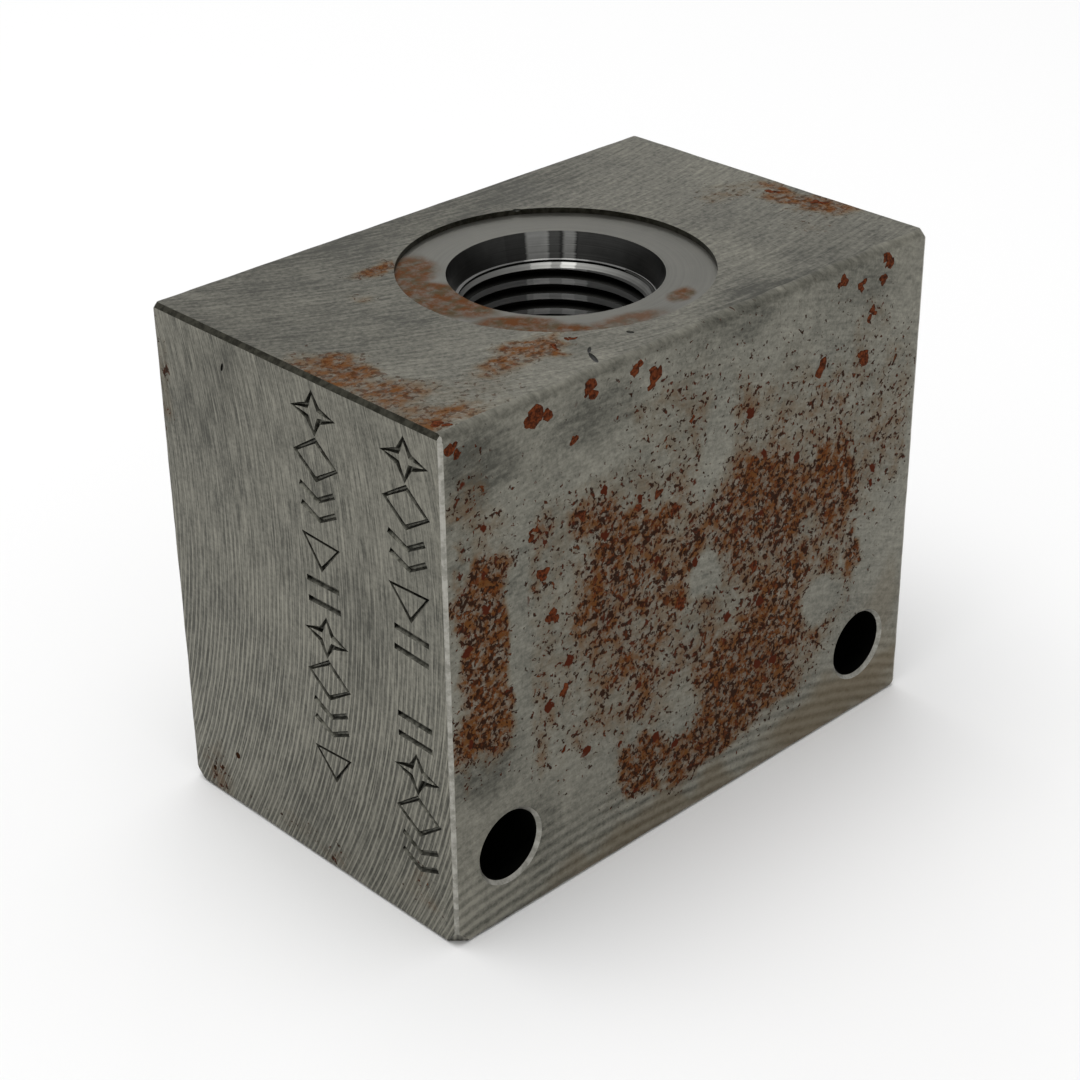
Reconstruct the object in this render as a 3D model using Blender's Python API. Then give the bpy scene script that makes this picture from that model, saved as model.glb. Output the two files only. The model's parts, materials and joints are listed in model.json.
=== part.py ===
"""Bare steel body for a screw-in hydraulic cartridge valve, machined from one block.

Metres, +Z up. The origin is the middle of the bottom face. +X runs along the long side to the
end with port 2, +Y points to the back face, which bolts against a machine, and +Z points out of
the cartridge cavity. Every hole is a turned cutter taken out of the block.
"""

import math

import bmesh
import bpy

MM = 0.001
INCH = 25.4 * MM

# Block
LENGTH = 2.50 * INCH
WIDTH = 1.55 * INCH
HEIGHT = 2.05 * INCH
EDGE_BREAK = 0.4 * MM
CAVITY_FROM_FRONT = 0.75 * INCH  # cavity axis, measured from the front face

# Cartridge cavity, depths measured down from the top face
SPOT_RADIUS = 0.595 * INCH
SPOT_DEPTH = 0.6 * MM
SEAT_MOUTH_RADIUS = 10.33 * MM
SEAT_FOOT_RADIUS = 9.63 * MM
SEAT_DEPTH = 3.2 * MM
CAVITY_THREAD_MAJOR = 0.375 * INCH
CAVITY_THREAD_MINOR = 8.85 * MM
CAVITY_PITCH = INCH / 16
CAVITY_THREADS = 8
BAND_RADIUS = 7.95 * MM  # the band that port 2 opens into
BAND_DEPTH = 20.0 * MM
NOSE_RADIUS = 0.25 * INCH
NOSE_DEPTH = 28.6 * MM

# Ports, both the same straight thread with an O-ring seat, depths from the face they are cut in
PORT_SPOT_RADIUS = 12.3 * MM
PORT_SPOT_DEPTH = 0.5 * MM
PORT_SEAT_RADIUS = 7.85 * MM
PORT_SEAT_DEPTH = 2.5 * MM
PORT_THREAD_MAJOR = 9 / 32 * INCH
PORT_THREAD_MINOR = 6.4 * MM
PORT_PITCH = INCH / 18
PORT_THREADS = 8
PORT_TAP_DEPTH = 15.6 * MM
PORT_1_NECK_RADIUS = 4.95 * MM
PORT_2_NECK_RADIUS = 4.0 * MM
PORT_2_DROP = 18.2 * MM  # port 2 axis below the top face

# Mounting holes, drilled through from front to back
BOLT_RADIUS = 9 / 64 * INCH
BOLT_EDGE_BREAK = 0.25 * MM
BOLT_OFFSET = 24.8 * MM  # each side of the middle
BOLT_LIFT = 8.0 * MM  # above the bottom face

# Cutters
OVERRUN = 1.0 * MM  # how far a cutter stands out of the face it cuts
DRILL_POINT = math.radians(59)  # half the angle of a drill's point
SHARP = math.radians(30)  # a cutter's faces that meet at less than this shade as one round wall
CAVITY_SIDES = 36
PORT_SIDES = 28
BOLT_SIDES = 24

CAVITY_Y = CAVITY_FROM_FRONT - WIDTH / 2


def clear_scene():
    for old in list(bpy.data.objects):
        bpy.data.objects.remove(old, do_unlink=True)


def add_object(name, mesh):
    obj = bpy.data.objects.new(name, mesh)
    bpy.context.scene.collection.objects.link(obj)
    return obj


def steel():
    material = bpy.data.materials.new("machined_steel")
    material.use_nodes = True
    shader = material.node_tree.nodes["Principled BSDF"]
    shader.inputs["Base Color"].default_value = (0.17, 0.165, 0.15, 1)
    shader.inputs["Metallic"].default_value = 0.9
    shader.inputs["Roughness"].default_value = 0.45
    return material


def block():
    """The sawn and milled block, with every edge broken."""
    bm = bmesh.new()
    bmesh.ops.create_cube(bm, size=1)
    bmesh.ops.scale(bm, vec=(LENGTH, WIDTH, HEIGHT), verts=bm.verts)
    bmesh.ops.translate(bm, vec=(0, 0, HEIGHT / 2), verts=bm.verts)
    bmesh.ops.bevel(bm, geom=bm.edges[:], offset=EDGE_BREAK, segments=1, affect="EDGES")
    mesh = bpy.data.meshes.new("valve_body")
    bm.to_mesh(mesh)
    bm.free()
    return add_object("valve_body", mesh)


def turned_cutter(name, profile, sides, location, rotation=(0, 0, 0)):
    """A closed solid turned about its own Z axis. The profile's (radius, depth) points run down
    from a first one on the axis to a last one on it. Depth counts down from the face it cuts."""
    bm = bmesh.new()
    points = [bm.verts.new((radius, 0, -depth)) for radius, depth in profile]
    lines = [bm.edges.new(pair) for pair in zip(points, points[1:])]
    bmesh.ops.spin(
        bm, geom=points + lines, cent=(0, 0, 0), axis=(0, 0, 1), angle=math.tau, steps=sides
    )
    bmesh.ops.remove_doubles(bm, verts=bm.verts, dist=0.001 * MM)
    bmesh.ops.recalc_face_normals(bm, faces=bm.faces)
    mesh = bpy.data.meshes.new(name)
    bm.to_mesh(mesh)
    bm.free()
    mesh.shade_smooth()
    mesh.set_sharp_from_angle(angle=SHARP)
    cutter = add_object(name, mesh)
    cutter.location = location
    cutter.rotation_euler = rotation
    cutter.hide_render = True
    cutter.display_type = "WIRE"
    return cutter


def recess(spot_radius, spot_depth, seat_radius):
    """The profile's start: a shallow spotface, down to the mouth of the O-ring seat."""
    return [(0, -OVERRUN), (spot_radius, -OVERRUN), (spot_radius, spot_depth), (seat_radius, spot_depth)]


def thread_grooves(start, minor, major, pitch, count):
    """Ring grooves of a 60 degree thread, one to each pitch, with flat crests and roots."""
    flank = (major - minor) * math.tan(math.radians(30))
    root = pitch / 8
    crest = pitch - 2 * flank - root
    points = []
    for turn in range(count):
        depth = start + turn * pitch
        points.append((minor, depth + crest / 2))
        points.append((major, depth + crest / 2 + flank))
        points.append((major, depth + crest / 2 + flank + root))
        points.append((minor, depth + pitch - crest / 2))
    return points


def cavity_cutter():
    profile = recess(SPOT_RADIUS, SPOT_DEPTH, SEAT_MOUTH_RADIUS)
    profile.append((SEAT_FOOT_RADIUS, SEAT_DEPTH))
    profile.append((CAVITY_THREAD_MINOR, SEAT_DEPTH + SEAT_FOOT_RADIUS - CAVITY_THREAD_MINOR))
    start = profile[-1][1]
    profile += thread_grooves(
        start, CAVITY_THREAD_MINOR, CAVITY_THREAD_MAJOR, CAVITY_PITCH, CAVITY_THREADS
    )
    foot = start + CAVITY_THREADS * CAVITY_PITCH
    profile.append((CAVITY_THREAD_MINOR, foot))
    profile.append((BAND_RADIUS, foot + CAVITY_THREAD_MINOR - BAND_RADIUS))
    profile.append((BAND_RADIUS, BAND_DEPTH))
    profile.append((NOSE_RADIUS, BAND_DEPTH + BAND_RADIUS - NOSE_RADIUS))
    profile.append((NOSE_RADIUS, NOSE_DEPTH))
    profile.append((0, NOSE_DEPTH + NOSE_RADIUS / math.tan(DRILL_POINT)))
    return turned_cutter("cavity_cutter", profile, CAVITY_SIDES, (0, CAVITY_Y, HEIGHT))


def port_cutter(name, neck_radius, neck_depth, location, rotation):
    profile = recess(PORT_SPOT_RADIUS, PORT_SPOT_DEPTH, PORT_SEAT_RADIUS)
    profile.append((PORT_THREAD_MAJOR, PORT_SEAT_DEPTH))
    profile.append((PORT_THREAD_MINOR, PORT_SEAT_DEPTH + PORT_THREAD_MAJOR - PORT_THREAD_MINOR))
    profile += thread_grooves(
        profile[-1][1], PORT_THREAD_MINOR, PORT_THREAD_MAJOR, PORT_PITCH, PORT_THREADS
    )
    step = (PORT_THREAD_MINOR - neck_radius) / math.tan(DRILL_POINT)
    profile.append((PORT_THREAD_MINOR, PORT_TAP_DEPTH))
    profile.append((neck_radius, PORT_TAP_DEPTH + step))
    profile.append((neck_radius, neck_depth))
    profile.append((0, neck_depth + neck_radius / math.tan(DRILL_POINT)))
    return turned_cutter(name, profile, PORT_SIDES, location, rotation)


def port_cutters():
    """Port 1 in the bottom face, up into the nose bore, and port 2 in the +X end, into the band."""
    nose_floor = HEIGHT - NOSE_DEPTH
    below = port_cutter(
        "port_1_cutter", PORT_1_NECK_RADIUS, nose_floor + OVERRUN, (0, CAVITY_Y, 0), (math.pi, 0, 0)
    )
    beside = port_cutter(
        "port_2_cutter",
        PORT_2_NECK_RADIUS,
        LENGTH / 2 - BAND_RADIUS / 2,
        (LENGTH / 2, CAVITY_Y, HEIGHT - PORT_2_DROP),
        (0, math.pi / 2, 0),
    )
    return [below, beside]


def bolt_cutter(name, x):
    """Right through from front to back, flared at both faces by the edge break."""
    flare = BOLT_RADIUS + BOLT_EDGE_BREAK + OVERRUN
    profile = [
        (0, -OVERRUN),
        (flare, -OVERRUN),
        (BOLT_RADIUS, BOLT_EDGE_BREAK),
        (BOLT_RADIUS, WIDTH - BOLT_EDGE_BREAK),
        (flare, WIDTH + OVERRUN),
        (0, WIDTH + OVERRUN),
    ]
    return turned_cutter(name, profile, BOLT_SIDES, (x, -WIDTH / 2, BOLT_LIFT), (math.pi / 2, 0, 0))


def bolt_cutters():
    return [
        bolt_cutter("left_bolt_cutter", -BOLT_OFFSET),
        bolt_cutter("right_bolt_cutter", BOLT_OFFSET),
    ]


def valve_body():
    body = block()
    body.data.materials.append(steel())
    for cutter in [cavity_cutter()] + port_cutters() + bolt_cutters():
        cut = body.modifiers.new(cutter.name, "BOOLEAN")
        cut.operation = "DIFFERENCE"
        cut.solver = "EXACT"
        cut.object = cutter
    return body


clear_scene()
valve_body()
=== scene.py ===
import json
import math

import bmesh
import bpy
from mathutils import Matrix, Vector, noise


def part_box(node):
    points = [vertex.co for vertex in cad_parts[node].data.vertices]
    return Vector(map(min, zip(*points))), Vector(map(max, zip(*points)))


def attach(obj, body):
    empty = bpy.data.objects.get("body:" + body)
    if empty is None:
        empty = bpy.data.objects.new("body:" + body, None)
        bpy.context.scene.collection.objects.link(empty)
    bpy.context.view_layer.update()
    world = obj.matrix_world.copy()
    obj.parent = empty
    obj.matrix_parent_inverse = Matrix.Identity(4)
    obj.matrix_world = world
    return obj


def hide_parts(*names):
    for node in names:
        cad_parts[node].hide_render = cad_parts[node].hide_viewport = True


mm = 0.001
inch = 25.4 * mm
noise.seed_set(3)   # fixed, so that the stains fall the same way on every run
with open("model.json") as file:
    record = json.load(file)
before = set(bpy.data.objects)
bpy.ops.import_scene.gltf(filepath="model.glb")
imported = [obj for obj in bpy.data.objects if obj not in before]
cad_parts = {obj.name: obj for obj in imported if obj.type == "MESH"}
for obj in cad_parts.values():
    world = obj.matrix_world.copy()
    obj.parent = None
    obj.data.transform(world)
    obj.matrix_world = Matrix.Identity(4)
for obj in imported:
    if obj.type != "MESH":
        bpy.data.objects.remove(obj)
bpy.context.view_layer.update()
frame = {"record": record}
blockLow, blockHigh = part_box("valve_body")
openings = {o["name"]: o["box_m"] for o in frame["record"]["physics"]["openings"]}


def openingCentre(name):
    low, high = openings[name]
    return (Vector(low) + Vector(high)) / 2


cavityAxis = openingCentre("cavity_thread_bore")
portTwoAxis = openingCentre("port_2_bore")
boltAxes = [openingCentre("left_bolt_hole"), openingCentre("right_bolt_hole")]


# meshes and cutters

def linkObject(name, data):
    obj = bpy.data.objects.new(name, data)
    bpy.context.scene.collection.objects.link(obj)
    return obj


def meshFrom(name, bm):
    mesh = bpy.data.meshes.new(name)
    bm.to_mesh(mesh)
    bm.free()
    return mesh


def objectFrom(name, bm, materials):
    mesh = meshFrom(name, bm)
    for material in materials:
        mesh.materials.append(material)
    return linkObject(name, mesh)


def settleModifiers(obj):
    graph = bpy.context.evaluated_depsgraph_get()
    mesh = bpy.data.meshes.new_from_object(obj.evaluated_get(graph), depsgraph=graph)
    obj.modifiers.clear()
    obj.data = mesh
    return obj


def cutAway(obj, cutter):
    cut = obj.modifiers.new("cut", "BOOLEAN")
    cut.operation = "DIFFERENCE"
    cut.solver = "EXACT"
    cut.material_mode = "TRANSFER"   # a cut face keeps its cutter's finish
    cut.object = cutter
    settleModifiers(obj)
    bpy.data.objects.remove(cutter)


def turnedCutter(name, profile, sides, place, materials):
    # one finish for each run of the profile
    slots = list(dict.fromkeys(materials))
    bm = bmesh.new()
    rings = []
    for step in range(sides):
        turn = math.tau * step / sides
        across, along = math.cos(turn), math.sin(turn)
        rings.append([bm.verts.new((r * across, r * along, -depth)) for r, depth in profile])
    for ring, nextRing in zip(rings, rings[1:] + rings[:1]):
        for index, material in enumerate(materials):
            face = bm.faces.new((ring[index], ring[index + 1], nextRing[index + 1], nextRing[index]))
            face.material_index = slots.index(material)
    bmesh.ops.remove_doubles(bm, verts=bm.verts, dist=0.001 * mm)   # the rings meet on the axis
    bmesh.ops.recalc_face_normals(bm, faces=bm.faces)
    bmesh.ops.transform(bm, matrix=place, verts=bm.verts)
    return objectFrom(name, bm, slots)


def dentCutter(place, size, turn, material):
    bm = bmesh.new()
    bmesh.ops.create_icosphere(bm, subdivisions=2, radius=0.5)
    shape = Matrix.Translation(place) @ Matrix.Rotation(turn[0], 4, turn[1]) @ Matrix.Diagonal((*size, 1))
    bmesh.ops.transform(bm, matrix=shape, verts=bm.verts)
    return objectFrom("dent", bm, [material])


# geometry nodes

def feed(tree, socket, value):
    if isinstance(value, bpy.types.NodeSocket):
        tree.links.new(value, socket)
    else:
        socket.default_value = value


def put(tree, kind, inputs=None, **settings):
    node = tree.nodes.new(kind)
    for key, value in settings.items():
        setattr(node, key, value)
    for name, value in (inputs or {}).items():
        feed(tree, node.inputs[name], value)
    return node


def calc(tree, operation, *values):
    return put(tree, "ShaderNodeMath", dict(enumerate(values)), operation=operation).outputs[0]


def times(tree, value, factor):
    return calc(tree, "MULTIPLY", value, factor)


def minus(tree, value, less):
    return calc(tree, "SUBTRACT", value, less)


def timesPlus(tree, value, factor, rest):
    return calc(tree, "MULTIPLY_ADD", value, factor, rest)


def clamped(tree, value):
    return put(tree, "ShaderNodeClamp", {0: value}).outputs[0]


def chance(tree, low, high, seed):
    return put(tree, "FunctionNodeRandomValue", {2: low, 3: high, "Seed": seed}, data_type="FLOAT").outputs[1]


def geometryTree(name, inputs):
    tree = bpy.data.node_groups.new(name, "GeometryNodeTree")
    tree.interface.new_socket(name="Geometry", in_out="OUTPUT", socket_type="NodeSocketGeometry")
    for label, value in inputs.items():
        kind = {int: "Int", float: "Float", tuple: "Vector", type(None): "Geometry"}[type(value)]
        socket = tree.interface.new_socket(name=label, in_out="INPUT", socket_type="NodeSocket" + kind)
        if value is not None:
            socket.default_value = value
    return tree, tree.nodes.new("NodeGroupInput").outputs


def finishTree(tree, geometry, material):
    real = put(tree, "GeometryNodeRealizeInstances", {"Geometry": geometry})
    dressed = put(tree, "GeometryNodeSetMaterial", {"Geometry": real.outputs[0], "Material": material})
    end = tree.nodes.new("NodeGroupOutput")
    tree.links.new(dressed.outputs[0], end.inputs[0])
    return tree


def grow(name, tree, values, mesh=None):
    obj = linkObject(name, mesh or bpy.data.meshes.new(name))
    modifier = obj.modifiers.new("grow", "NODES")
    modifier.node_group = tree
    for item in tree.interface.items_tree:
        if item.in_out == "INPUT" and item.name in values:
            modifier[item.identifier] = values[item.name]
    return settleModifiers(obj)


def sweptGroove(tree, curve, mouth, root, reach, turn):
    upright = put(tree, "GeometryNodeSetCurveNormal", {"Curve": curve}, mode="Z_UP")
    section = put(tree, "GeometryNodeCurvePrimitiveQuadrilateral", {
        "Bottom Width": mouth, "Top Width": root, "Height": reach, "Offset": 0.0,
    }, mode="TRAPEZOID")
    turned = put(tree, "GeometryNodeTransform", {"Geometry": section.outputs[0], "Rotation": (0, 0, turn)})
    return put(tree, "GeometryNodeCurveToMesh", {
        "Curve": upright.outputs[0], "Profile Curve": turned.outputs[0], "Fill Caps": True,
    }).outputs[0]


def threadTree(material):
    tree, given = geometryTree("helical groove", {
        "Minor Radius": 9 * mm, "Depth": 0.7 * mm, "Pitch": 1.5 * mm, "Turns": 8.0,
        "Root Width": 0.2 * mm, "Overlap": 0.2 * mm, "Steps": 72,
    })
    height = times(tree, given["Pitch"], given["Turns"])
    spare = minus(tree, given["Depth"], given["Overlap"])
    middle = timesPlus(tree, spare, 0.5, given["Minor Radius"])
    helix = put(tree, "GeometryNodeCurveSpiral", {
        "Resolution": given["Steps"], "Rotations": given["Turns"], "Height": height,
        "Start Radius": middle, "End Radius": middle, "Reverse": True,
    })
    reach = calc(tree, "ADD", given["Depth"], given["Overlap"])
    mouth = timesPlus(tree, reach, 2 * math.tan(math.radians(30)), given["Root Width"])   # 60 degree flanks
    swept = sweptGroove(tree, helix.outputs[0], mouth, given["Root Width"], reach, -math.pi / 2)
    return finishTree(tree, swept, material)


def cutThread(body, tree, hole, place):
    groove = grow("groove", tree, {
        "Minor Radius": hole["minor"], "Depth": hole["major"] - hole["minor"], "Pitch": hole["pitch"],
        "Turns": hole["turns"], "Root Width": hole["pitch"] / 8, "Steps": roundSides,
    })
    groove.data.transform(place)
    cutAway(body, groove)


# shader nodes; every length in a finish is in millimetres

def vec(tree, operation, *values):
    node = put(tree, "ShaderNodeVectorMath", dict(enumerate(values)), operation=operation)
    return node.outputs["Value" if operation == "LENGTH" else "Vector"]


def joinXYZ(tree, x, y, z):
    return put(tree, "ShaderNodeCombineXYZ", {0: x, 1: y, 2: z}).outputs[0]


def ease(tree, value, start, stop, low=0.0, high=1.0):
    return put(tree, "ShaderNodeMapRange", {
        "Value": value, "From Min": start, "From Max": stop, "To Min": low, "To Max": high,
    }, interpolation_type="SMOOTHSTEP").outputs[0]


def grain(tree, place, scale, detail=3.0, roughness=0.6, distortion=0.0):
    return put(tree, "ShaderNodeTexNoise", {
        "Vector": place, "Scale": scale, "Detail": detail, "Roughness": roughness,
        "Distortion": distortion,
    }).outputs["Fac"]


def blend(tree, share, first, second):
    node = put(tree, "ShaderNodeMix", data_type="RGBA")
    for index, value in ((0, share), (6, first), (7, second)):
        if isinstance(value, tuple):
            value = (*value, 1)
        feed(tree, node.inputs[index], value)
    return node.outputs[2]


def startFinish(name):
    material = bpy.data.materials.new(name)
    material.use_nodes = True
    tree = material.node_tree
    shader = tree.nodes["Principled BSDF"]
    shader.inputs["Specular IOR Level"].default_value = 0.05
    objectPlace = put(tree, "ShaderNodeTexCoord").outputs["Object"]
    return material, tree, shader, vec(tree, "MULTIPLY", objectPlace, (1000, 1000, 1000))


def dress(tree, shader, colour, metallic, roughness, height, relief):
    bump = put(tree, "ShaderNodeBump", {"Height": height, "Distance": relief * mm})
    feed(tree, shader.inputs["Base Color"], colour)
    feed(tree, shader.inputs["Metallic"], metallic)
    feed(tree, shader.inputs["Roughness"], roughness)
    tree.links.new(bump.outputs[0], shader.inputs["Normal"])


def ringCoverage(tree, flat, patches):
    shove = put(tree, "ShaderNodeTexNoise", {"Vector": flat, "Scale": 0.22, "Detail": 3.0}).outputs["Color"]
    shove = vec(tree, "MULTIPLY", vec(tree, "SUBTRACT", shove, (0.5, 0.5, 0.5)), (2.5, 2.5, 0))
    moved = vec(tree, "MULTIPLY", vec(tree, "ADD", flat, shove), (1, 1, 0))
    total = 0.0
    for along, across, halfLength, halfWidth, turn, strength in patches:
        local = put(tree, "ShaderNodeMapping", {
            "Vector": moved, "Location": (along, across, 0), "Rotation": (0, 0, math.radians(turn)),
            "Scale": (halfLength, halfWidth, 1),
        }, vector_type="TEXTURE").outputs[0]
        patch = ease(tree, vec(tree, "LENGTH", local), 1.0, 0.4, 0.0, strength)
        total = calc(tree, "MAXIMUM", total, patch)
    return total


steelTones = dict(
    dark=(0.070, 0.069, 0.057), light=(0.275, 0.266, 0.222),
    film=(0.150, 0.110, 0.062), tan=(0.072, 0.051, 0.028),
    brown=(0.125, 0.048, 0.012), stain=(0.100, 0.038, 0.013),
    rustDark=(0.020, 0.007, 0.003), rustOrange=(0.125, 0.038, 0.009), rustRed=(0.062, 0.012, 0.004),
)

# shared by the six milled faces: how fast each layer of noise runs, and how much it changes
milled = dict(
    finePull=2.2, wobblePace=0.15, wobbleSwing=2.5, ridgeMiddle=0.35,
    cloudPace=0.12, mottlePace=2.2, pepperPace=1.5, speckPace=0.9, huePace=0.35, crumbPace=1.8,
    pepperDepth=-0.45, grimeDepth=-0.42, tanShare=0.6, spotPace=0.42, spotRagged=1.2,
    metallic=0.9, rustMetallic=-0.88, roughness=0.38, rustRoughness=0.35,
)


def cutterTone(tree, look, along, across, flat, deep, grime):
    # cutter marks: arcs of one radius, so the distance across them is a straight coordinate
    lean = minus(tree, along, look["arcCentre"])
    rise = calc(tree, "SQRT", minus(tree, look["arcRadius"] ** 2, times(tree, lean, lean)))
    sweep = timesPlus(tree, rise, look["bulge"], across)
    drawn = joinXYZ(tree, sweep, times(tree, along, look["run"]), look["seed"])
    fine = grain(tree, vec(tree, "MULTIPLY", drawn, (look["fine"], 1, 1)), 1.0)
    hair = grain(tree, vec(tree, "MULTIPLY", drawn, (look["fine"] * milled["finePull"], 2, 1)), 1.0, 2.0)
    wobble = grain(tree, flat, milled["wobblePace"], 2.0)
    turns = times(tree, sweep, math.tau / look["pitch"])
    phase = timesPlus(tree, wobble, milled["wobbleSwing"], turns)
    ridge = timesPlus(tree, calc(tree, "SINE", phase), 0.5, 0.5)
    ridge = calc(tree, "POWER", ridge, look["crisp"])
    ridgeShare = ease(tree, deep, look["deepFrom"], look["deepTo"], look["ridgeLow"], look["ridgeHigh"])
    cloud = grain(tree, flat, milled["cloudPace"], 4.0, 0.55)
    mottle = grain(tree, flat, milled["mottlePace"], 4.0, 0.7)
    tone = 0.5
    for layer, weight in ((fine, look["fineDepth"]), (hair, look["hairDepth"]), (cloud, look["cloud"]),
                          (mottle, look["mottle"])):
        tone = timesPlus(tree, minus(tree, layer, 0.5), weight, tone)
    tone = timesPlus(tree, minus(tree, ridge, milled["ridgeMiddle"]), ridgeShare, tone)
    pepper = grain(tree, vec(tree, "ADD", flat, (51, 3, 7)), milled["pepperPace"], 4.0, 0.75)
    tone = timesPlus(tree, ease(tree, pepper, 0.655, 0.73), milled["pepperDepth"], tone)
    grime = times(tree, grime, calc(tree, "ADD", minus(tree, 1.0, fine), mottle))
    tone = timesPlus(tree, grime, milled["grimeDepth"], tone)
    height = times(tree, fine, 0.4)
    for layer, weight in ((hair, 0.25), (ridge, times(tree, ridgeShare, 1.6)), (mottle, 0.35)):
        height = timesPlus(tree, layer, weight, height)
    return clamped(tree, tone), cloud, height


def rustFilm(tree, look, flat, cover, tan):
    # the thin film that rust leaves where it has settled
    speck = grain(tree, vec(tree, "ADD", flat, (3, 8, 1)), milled["speckPace"], 4.0, 0.7)
    film = times(tree, ease(tree, cover, 0.2, 0.85), ease(tree, speck, 0.36, 0.62, 0.3, 1.2))
    film = times(tree, film, look["film"])
    film = clamped(tree, calc(tree, "MAXIMUM", film, times(tree, tan, milled["tanShare"])))
    return film, blend(tree, ease(tree, cover, 0.3, 0.9), steelTones["film"], steelTones["brown"])


def rustFlecks(tree, look, flat, cover):
    fleck = 0.0
    for size, sparse, dense, shift in ((1.0, look["sparse"], look["dense"], 0.0), (0.5, 0.70, 0.56, 40.0)):
        place = vec(tree, "MULTIPLY", flat, (look["fleck"][0] * size, look["fleck"][1] * size, 1))
        speckle = grain(tree, vec(tree, "ADD", place, (shift, 0, 0)), 1.0, 3.0, 0.6, 0.3)
        bar = ease(tree, cover, 0.0, 1.0, sparse, dense)
        fleck = calc(tree, "MAXIMUM", fleck, ease(tree, minus(tree, speckle, bar), -0.012, 0.025))
    return times(tree, fleck, ease(tree, cover, 0.02, 0.14))


def rustSpots(tree, look, flat, cover):
    ragged = put(tree, "ShaderNodeTexNoise", {"Vector": flat, "Scale": 1.4}).outputs["Color"]
    ragged = vec(tree, "MULTIPLY", ragged, (milled["spotRagged"], milled["spotRagged"], 0))
    cell = put(tree, "ShaderNodeTexVoronoi", {
        "Vector": vec(tree, "ADD", flat, ragged), "Scale": milled["spotPace"],
    }, voronoi_dimensions="3D").outputs
    luck = put(tree, "ShaderNodeSeparateColor", {0: cell["Color"]}).outputs[0]
    reach = ease(tree, luck, 0.45, 1.0, -0.05, 0.24)
    spot = ease(tree, minus(tree, cell["Distance"], reach), 0.03, -0.02)
    spot = times(tree, spot, ease(tree, cover, 0.2, 0.35))
    return times(tree, spot, look["spots"])


def milledFinish(name, look):
    material, tree, shader, place = startFinish(name)
    parts = put(tree, "ShaderNodeSeparateXYZ", {0: place}).outputs
    along, across = parts[look["along"]], parts[look["across"]]
    flat = joinXYZ(tree, along, across, look["seed"])
    paint = put(tree, "ShaderNodeAttribute", attribute_name="stains").outputs["Color"]
    cover, grime, tan = put(tree, "ShaderNodeSeparateColor", {0: paint}).outputs[:3]

    tone, cloud, height = cutterTone(tree, look, along, across, flat, parts[look["deepAxis"]], grime)
    steel = blend(tree, tone, steelTones["dark"], steelTones["light"])
    film, filmTone = rustFilm(tree, look, flat, cover, tan)
    fleck = rustFlecks(tree, look, flat, cover)
    spot = rustSpots(tree, look, flat, cover)

    hue = grain(tree, flat, milled["huePace"])
    orange = ease(tree, timesPlus(tree, cover, 0.25, hue), 0.6, 0.85)
    rust = blend(tree, orange, steelTones["rustRed"], steelTones["rustOrange"])
    crumb = grain(tree, flat, milled["crumbPace"])
    rust = blend(tree, ease(tree, crumb, 0.45, 0.65), steelTones["rustDark"], rust)
    colour = blend(tree, film, steel, filmTone)
    colour = blend(tree, times(tree, fleck, look["fleckStrength"]), colour, rust)
    colour = blend(tree, spot, colour, steelTones["rustRed"])

    scale = calc(tree, "MAXIMUM", fleck, spot)
    height = timesPlus(tree, scale, 0.8, height)
    dull = calc(tree, "MAXIMUM", scale, times(tree, film, 0.7))
    metallic = timesPlus(tree, dull, milled["rustMetallic"], milled["metallic"])
    rough = timesPlus(tree, cloud, 0.2, milled["roughness"])
    rough = timesPlus(tree, dull, milled["rustRoughness"], rough)
    dress(tree, shader, colour, metallic, rough, height, look["relief"])
    return material


xAxis, yAxis, zAxis = 0, 1, 2

# what most faces share
baseLook = dict(
    along=xAxis, across=yAxis, bulge=1, crisp=1.5, deepAxis=zAxis, cloud=0.9, mottle=1.1,
    fleck=(1.8, 1.8), sparse=0.68, dense=0.47, film=0.65, fleckStrength=0.9, relief=0.02, spots=0.0,
    grime=[], tan=[], clean=[],
)

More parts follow.
